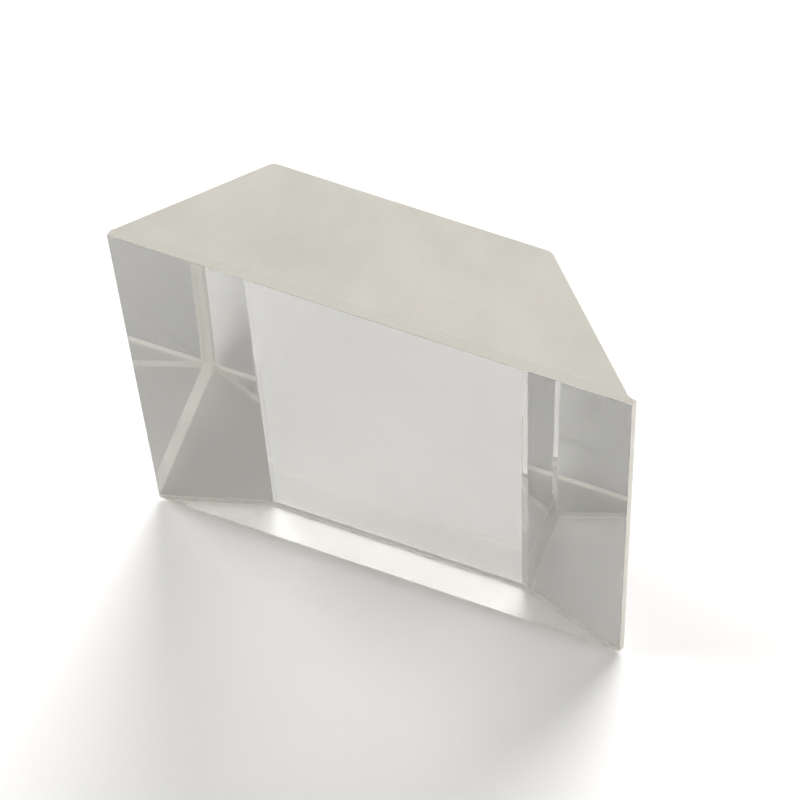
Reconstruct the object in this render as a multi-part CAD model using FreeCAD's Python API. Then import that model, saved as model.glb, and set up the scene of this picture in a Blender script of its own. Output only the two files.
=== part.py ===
import FreeCAD
import Part

import math
import os

# Free-standing dove prism in optical crown glass, standing on one of its ground sides.
#
# The prism is a single piece of glass: a bar of trapezoid section. The long base face looks
# to the front, the short roof face looks to the back, and the two end faces slope from the base
# to the roof. Those four faces are polished. The two sides that show the trapezoid are ground,
# and so are the bevels along the edges and the flats on the two sharp edges.
#
# Frame, in millimetres: +X runs along the length, from one sharp edge to the other, +Y from the
# base face to the roof face, +Z up across the width. The origin is the middle of the resting
# side: z = 0 is the lower ground side, and the base and roof lie equally far from y = 0.

# Driving dimensions
APERTURE = 10.0          # from the base face to the roof face
BASE_LENGTH = 42.3       # from one sharp edge to the other, before their flats are ground
WIDTH = 50.0             # from one ground side to the other, which is the height as it stands
END_ANGLE = 45.0         # angle of the end faces to the base, in degrees
TIP_FLAT = 0.5           # width of the flat ground along each sharp edge
ROOF_BEVEL = 0.3         # leg of the bevel along each blunt edge of the roof
SIDE_BEVEL = 0.5         # leg of the bevel that runs round each ground side

UP = FreeCAD.Vector(0, 0, 1)


def ground_off(glass, point, outward):
    """Take away all glass outside the plane through a point, square to the outward direction."""
    reach = 2 * (BASE_LENGTH + WIDTH + APERTURE)
    waste = Part.makeBox(reach, reach, reach, FreeCAD.Vector(-reach / 2, -reach / 2, 0))
    waste.Placement = FreeCAD.Placement(point, FreeCAD.Rotation(UP, outward))
    return glass.cut(waste)


def halfway(one, other):
    """The direction halfway between two face directions, for a bevel or flat between them."""
    middle = one + other
    return middle.normalize()


def upright_faces():
    """A point on each upright face and its outward direction, in the order they are ground."""
    base = FreeCAD.Vector(0, -1, 0)
    roof = FreeCAD.Vector(0, 1, 0)
    angle = math.radians(END_ANGLE)
    half_base = BASE_LENGTH / 2
    half_roof = half_base - APERTURE / math.tan(angle)
    flat_depth = TIP_FLAT / 2 / math.tan(angle / 2)
    bevel_depth = ROOF_BEVEL * math.sin(angle / 2)
    faces = [
        (FreeCAD.Vector(0, -APERTURE / 2, 0), base),
        (FreeCAD.Vector(0, APERTURE / 2, 0), roof),
    ]
    for side in (-1, 1):
        end = FreeCAD.Vector(side * math.sin(angle), math.cos(angle), 0)
        sharp_edge = FreeCAD.Vector(side * half_base, -APERTURE / 2, 0)
        blunt_edge = FreeCAD.Vector(side * half_roof, APERTURE / 2, 0)
        flat = halfway(base, end)
        bevel = halfway(roof, end)
        faces.append((sharp_edge, end))
        faces.append((sharp_edge - flat * flat_depth, flat))
        faces.append((blunt_edge - bevel * bevel_depth, bevel))
    return faces


def blank():
    """The sawn block that the faces are ground into, as wide as the finished prism."""
    corner = FreeCAD.Vector(-BASE_LENGTH / 2, -APERTURE / 2, 0)
    return Part.makeBox(BASE_LENGTH, APERTURE, WIDTH, corner)


def prism():
    """Grind the upright faces, then a bevel where each of them meets either ground side."""
    glass = blank()
    for point, outward in upright_faces():
        glass = ground_off(glass, point, outward)
    for point, outward in upright_faces():
        glass = ground_off(glass, point + UP * SIDE_BEVEL, halfway(outward, -UP))
        glass = ground_off(glass, point + UP * (WIDTH - SIDE_BEVEL), halfway(outward, UP))
    return glass.Solids[0]


os.makedirs("parts", exist_ok=True)
solid = prism()
solid.exportStep("parts/prism.step")

box = solid.BoundBox
print("prism valid", solid.isValid(), "faces", len(solid.Faces), "volume mm3", round(solid.Volume, 1))
print("box mm", round(box.XLength, 3), round(box.YLength, 3), round(box.ZLength, 3))
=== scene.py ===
import math

import bmesh
import bpy
from mathutils import Matrix, Vector


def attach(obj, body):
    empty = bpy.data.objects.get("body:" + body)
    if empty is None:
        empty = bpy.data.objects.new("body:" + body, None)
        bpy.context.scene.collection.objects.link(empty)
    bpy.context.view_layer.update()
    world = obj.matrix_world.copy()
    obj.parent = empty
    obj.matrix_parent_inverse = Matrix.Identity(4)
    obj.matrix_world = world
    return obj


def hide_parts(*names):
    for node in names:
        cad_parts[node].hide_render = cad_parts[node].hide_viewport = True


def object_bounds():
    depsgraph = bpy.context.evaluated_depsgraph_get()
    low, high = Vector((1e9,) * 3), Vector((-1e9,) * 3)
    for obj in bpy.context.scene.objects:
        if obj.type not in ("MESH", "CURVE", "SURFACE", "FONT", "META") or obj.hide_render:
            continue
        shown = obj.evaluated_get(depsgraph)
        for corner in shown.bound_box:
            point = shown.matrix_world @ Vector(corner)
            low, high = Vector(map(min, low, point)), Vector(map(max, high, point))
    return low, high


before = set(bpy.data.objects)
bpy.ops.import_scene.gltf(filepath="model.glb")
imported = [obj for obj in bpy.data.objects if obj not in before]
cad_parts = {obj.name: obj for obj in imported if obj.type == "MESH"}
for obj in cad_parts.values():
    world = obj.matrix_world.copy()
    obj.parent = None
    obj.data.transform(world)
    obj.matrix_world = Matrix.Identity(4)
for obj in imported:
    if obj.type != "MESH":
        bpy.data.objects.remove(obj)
cad_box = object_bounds()

# Which finish a face of the prism has, by the way it faces
POLISHED, GROUND_TOP, GROUND_BASE, GROUND_EDGE = range(4)
GROUND_NORMAL_Z = 0.2        # faces that lean further up or down than this are ground
SIDE_NORMAL_Z = 0.99         # the two ground sides face straight up and down
FLAT_NORMAL_X = 0.85         # the flats on the sharp ends face along X more than this

# Edges
ARRIS_RADIUS = 0.00006       # rounding left where two faces meet
ARRIS_STEPS = 2
ROUND_PROFILE = 0.5
SAME_POINT = 1e-7            # corners of the solid's triangles that are nearer are one
FLAT_ANGLE = 0.001           # triangles that meet at less than this, in radians, are one face

# Glass, made greyer and its reflections weaker than in clean glass, for the photograph's tones
CROWN_INDEX = 1.5168
CLEAR_TINT = (0.55, 0.548, 0.532, 1)
CLOUDY_TINT = (0.52, 0.517, 0.502, 1)
REFLECTION_TINT = (0.48, 0.48, 0.455, 1)
CLOUDS_PER_METRE = 90.0
CLOUD_DETAIL = 3.0
HAZE_PER_METRE = 260.0
HAZE_DETAIL = 4.0
HAZE_NOISE = (0.5, 0.8)      # noise at which the haze of dust starts, and is thickest
HAZE_ROUGHNESS = 0.03        # where it is thickest

# Ground glass
STAINS_PER_METRE = 150.0
STAIN_DETAIL = 9.0
STAIN_FINENESS = 0.62
GRAINS_PER_METRE = 9000.0
GRAIN_DEPTH = 0.00001

# Noise
PLAIN_DETAIL = 2.0
PLAIN_FINENESS = 0.5
MIDDLE_NOISE = (0.35, 0.65)  # the range that most of a noise lies in

# Camera, from a perspective fit of the photograph, in the frame of the prism
CAMERA_AZIMUTH = 24.0        # degrees round from the front, towards the right end
CAMERA_ELEVATION = 65.4      # degrees above the floor
CAMERA_ROLL = 3.9
CAMERA_DISTANCE = 0.335      # metres from the middle of the prism
CAMERA_NEAREST = 0.001
PHOTO_FOCAL_PIXELS = 1815.0  # focal length of the photograph, in its own pixels
CLOSER = 2.35                # how much larger the prism is framed than in the photograph
IMAGE_PIXELS = 800.0
SENSOR_WIDTH = 36.0

# Studio
FLOOR_SIZE = 6.0
FLOOR_GAP = 0.00005          # air left under the ground side by its grain
FLOOR_COLOUR = (0.9, 0.892, 0.88, 1)
FLOOR_ROUGHNESS = 0.9
HORIZON_COLOUR = (0.95, 0.945, 0.94, 1)
WALL_COLOUR = (0.5, 0.495, 0.49, 1)
WALL_START = 0.1             # sine of the height above the horizon
CEILING_COLOUR = (0.12, 0.12, 0.12, 1)
SOFTNESS = 48.0              # degrees across each light, seen from the prism
BACK_LIGHT = (180.0, 35.0, 4.1)   # degrees round from the front and above the floor, strength
SIDE_LIGHT = (270.0, 25.0, 2.6)

# Light paths, long enough for light that goes to and fro inside the glass
MOST_BOUNCES = 32
GLOSSY_BOUNCES = 16
DIFFUSE_BOUNCES = 6


def principled(name):
    material = bpy.data.materials.new(name)
    material.use_nodes = True
    tree = material.node_tree
    return material, tree, tree.nodes["Principled BSDF"]


def noise(tree, per_metre, detail=PLAIN_DETAIL, fineness=PLAIN_FINENESS):
    """Noise that is fixed in the object, with about this many features in a metre."""
    place = tree.nodes.new("ShaderNodeTexCoord")
    pattern = tree.nodes.new("ShaderNodeTexNoise")
    pattern.inputs["Scale"].default_value = per_metre
    pattern.inputs["Detail"].default_value = detail
    pattern.inputs["Roughness"].default_value = fineness
    tree.links.new(place.outputs["Object"], pattern.inputs["Vector"])
    return pattern.outputs["Fac"]


def spread(tree, value, low, high, part=MIDDLE_NOISE):
    """Stretch this part of a noise over the range from low to high."""
    stretch = tree.nodes.new("ShaderNodeMapRange")
    stretch.inputs["From Min"].default_value = part[0]
    stretch.inputs["From Max"].default_value = part[1]
    stretch.inputs["To Min"].default_value = low
    stretch.inputs["To Max"].default_value = high
    tree.links.new(value, stretch.inputs["Value"])
    return stretch.outputs["Result"]


def between(tree, value, first, second):
    """A colour that goes from first to second as value goes from 0 to 1."""
    mix = tree.nodes.new("ShaderNodeMix")
    mix.data_type = "RGBA"
    mix.inputs["A"].default_value = first
    mix.inputs["B"].default_value = second
    tree.links.new(value, mix.inputs["Factor"])
    return mix.outputs["Result"]


def bump(tree, shader, height, depth):
    relief = tree.nodes.new("ShaderNodeBump")
    relief.inputs["Strength"].default_value = 1.0
    relief.inputs["Distance"].default_value = depth
    tree.links.new(height, relief.inputs["Height"])
    tree.links.new(relief.outputs["Normal"], shader.inputs["Normal"])


def polished_glass():
    """Crown glass, clear but faintly clouded, with a thin haze of wiped dust."""
    material, tree, shader = principled("polished_glass")
    clouds = spread(tree, noise(tree, CLOUDS_PER_METRE, CLOUD_DETAIL), 0.0, 1.0)
    dust = noise(tree, HAZE_PER_METRE, HAZE_DETAIL)
    haze = spread(tree, dust, 0.0, HAZE_ROUGHNESS, part=HAZE_NOISE)
    tree.links.new(between(tree, clouds, CLEAR_TINT, CLOUDY_TINT), shader.inputs["Base Color"])
    tree.links.new(haze, shader.inputs["Roughness"])
    shader.inputs["Specular Tint"].default_value = REFLECTION_TINT
    shader.inputs["Transmission Weight"].default_value = 1.0
    shader.inputs["IOR"].default_value = CROWN_INDEX
    return material


def ground_glass(name, colour, stained, clear, smooth, rough):
    """Glass ground with fine grit: a matt grain, with its tone a little uneven.

    clear is the share of light that goes through, and the roughness of the grain goes
    from smooth to rough.
    """
    material, tree, shader = principled(name)
    dirt = noise(tree, STAINS_PER_METRE, STAIN_DETAIL, STAIN_FINENESS)
    stains = spread(tree, dirt, 0.0, 1.0)
    grain = noise(tree, GRAINS_PER_METRE)
    tree.links.new(between(tree, stains, colour, stained), shader.inputs["Base Color"])
    tree.links.new(spread(tree, grain, smooth, rough), shader.inputs["Roughness"])
    bump(tree, shader, grain, GRAIN_DEPTH)
    shader.inputs["Transmission Weight"].default_value = clear
    shader.inputs["IOR"].default_value = CROWN_INDEX
    return material


def ground_top_painted_shade():
    """The upper ground side, given a darker colour than the base and the edges: painted shade.
    """
    # the colour is darkened so the top looks less lit than the other ground faces: painted
    # shade
    return ground_glass(
        "ground_top_painted_shade", colour=(0.6, 0.578, 0.518, 1), stained=(0.53, 0.51, 0.452, 1),
        clear=0.45, smooth=0.5, rough=0.65,
    )


def ground_base_painted_light():
    """The lower ground side, given a near-white colour brighter than the top: painted light,
    with a sheen for light that strikes it from inside.
    """
    # the near-white colour brightens the band seen through the front: painted light
    return ground_glass(
        "ground_base_painted_light", colour=(1.0, 0.975, 0.89, 1), stained=(0.96, 0.93, 0.84, 1),
        clear=1.0, smooth=0.45, rough=0.57,
    )


def ground_edge_painted_light():
    """The bevels and the flats on the sharp ends, given a whiter colour than the top: painted
    light.
    """
    # the whiter colour brightens the bevels and the streaks they make inside the glass:
    # painted light
    return ground_glass(
        "ground_edge_painted_light", colour=(0.93, 0.90, 0.815, 1), stained=(0.88, 0.85, 0.765, 1),
        clear=0.15, smooth=0.4, rough=0.6,
    )


def prism_materials():
    """The finishes, in the order of their numbers."""
    return [polished_glass(), ground_top_painted_shade(), ground_base_painted_light(), ground_edge_painted_light()]


def finish_of(normal):
    if normal.z > SIDE_NORMAL_Z:
        return GROUND_TOP
    if normal.z < -SIDE_NORMAL_Z:
        return GROUND_BASE
    if abs(normal.z) > GROUND_NORMAL_Z or abs(normal.x) > FLAT_NORMAL_X:
        return GROUND_EDGE
    return POLISHED


def prism_mesh():
    """The solid's own faces, whole instead of cut in triangles, with rounded arrises."""
    bm = bmesh.new()
    bm.from_mesh(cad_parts["prism"].data)
    bmesh.ops.remove_doubles(bm, verts=bm.verts, dist=SAME_POINT)
    bmesh.ops.dissolve_limit(bm, angle_limit=FLAT_ANGLE, verts=bm.verts, edges=bm.edges)
    for face in bm.faces:
        face.material_index = finish_of(face.normal)
    bmesh.ops.bevel(
        bm, geom=list(bm.edges), offset=ARRIS_RADIUS, offset_type="OFFSET",
        segments=ARRIS_STEPS, profile=ROUND_PROFILE, affect="EDGES", material=-1,
    )
    mesh = bpy.data.meshes.new("dove_prism")
    bm.to_mesh(mesh)
    bm.free()
    for material in prism_materials():
        mesh.materials.append(material)
    return mesh


def prism_piece():
    piece = bpy.data.objects.new("dove_prism", prism_mesh())
    bpy.context.scene.collection.objects.link(piece)
    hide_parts("prism")
    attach(piece, "root")


def floor_material():
    material, tree, shader = principled("floor")
    shader.inputs["Base Color"].default_value = FLOOR_COLOUR
    shader.inputs["Roughness"].default_value = FLOOR_ROUGHNESS
    return material


def floor():
    bm = bmesh.new()
    bmesh.ops.create_grid(bm, x_segments=1, y_segments=1, size=FLOOR_SIZE / 2)
    mesh = bpy.data.meshes.new("floor")
    bm.to_mesh(mesh)
    bm.free()
    mesh.materials.append(floor_material())
    plane = bpy.data.objects.new("floor", mesh)
    bpy.context.scene.collection.objects.link(plane)
    plane.location.z = cad_box[0][2] - FLOOR_GAP


def facing(azimuth, elevation):
    """The direction this many degrees round from the front and above the floor."""
    turn = math.radians(azimuth)
    rise = math.radians(elevation)
    return Vector((
        math.sin(turn) * math.cos(rise),
        -math.cos(turn) * math.cos(rise),
        math.sin(rise),
    ))


def camera():
    low, high = [Vector(corner) for corner in cad_box]
    middle = (low + high) / 2
    towards = facing(CAMERA_AZIMUTH, CAMERA_ELEVATION)
    data = bpy.data.cameras.new("camera")
    data.sensor_width = SENSOR_WIDTH
    data.lens = SENSOR_WIDTH * PHOTO_FOCAL_PIXELS * CLOSER / IMAGE_PIXELS
    data.clip_start = CAMERA_NEAREST
    eye = bpy.data.objects.new("camera", data)
    turn = towards.to_track_quat("Z", "Y").to_matrix().to_4x4()
    roll = Matrix.Rotation(math.radians(-CAMERA_ROLL), 4, "Z")
    eye.matrix_world = Matrix.Translation(middle + towards * CAMERA_DISTANCE) @ turn @ roll
    bpy.context.scene.collection.objects.link(eye)
    bpy.context.scene.camera = eye


def soft_light(name, azimuth, elevation, strength):
    data = bpy.data.lights.new(name, "SUN")
    data.angle = math.radians(SOFTNESS)
    data.energy = strength
    lamp = bpy.data.objects.new(name, data)
    lamp.matrix_world = facing(azimuth, elevation).to_track_quat("Z", "Y").to_matrix().to_4x4()
    bpy.context.scene.collection.objects.link(lamp)


def surroundings():
    """A pale horizon, and walls that darken towards the ceiling."""
    studio = bpy.data.worlds.new("studio")
    studio.use_nodes = True
    tree = studio.node_tree
    direction = tree.nodes.new("ShaderNodeTexCoord")
    height = tree.nodes.new("ShaderNodeSeparateXYZ")
    tree.links.new(direction.outputs["Generated"], height.inputs[0])
    ramp = tree.nodes.new("ShaderNodeValToRGB")
    horizon, ceiling = ramp.color_ramp.elements
    horizon.color = HORIZON_COLOUR
    ceiling.color = CEILING_COLOUR
    ramp.color_ramp.elements.new(WALL_START).color = WALL_COLOUR
    tree.links.new(height.outputs["Z"], ramp.inputs["Fac"])
    tree.links.new(ramp.outputs["Color"], tree.nodes["Background"].inputs["Color"])
    bpy.context.scene.world = studio


def light_paths():
    scene = bpy.context.scene
    scene.cycles.max_bounces = MOST_BOUNCES
    scene.cycles.transmission_bounces = MOST_BOUNCES
    scene.cycles.glossy_bounces = GLOSSY_BOUNCES
    scene.cycles.diffuse_bounces = DIFFUSE_BOUNCES
    scene.cycles.caustics_refractive = True
    scene.cycles.caustics_reflective = True
    scene.cycles.use_denoising = True
    scene.view_settings.view_transform = "Standard"


prism_piece()
floor()
camera()
surroundings()
soft_light("back", *BACK_LIGHT)
soft_light("side", *SIDE_LIGHT)
light_paths()
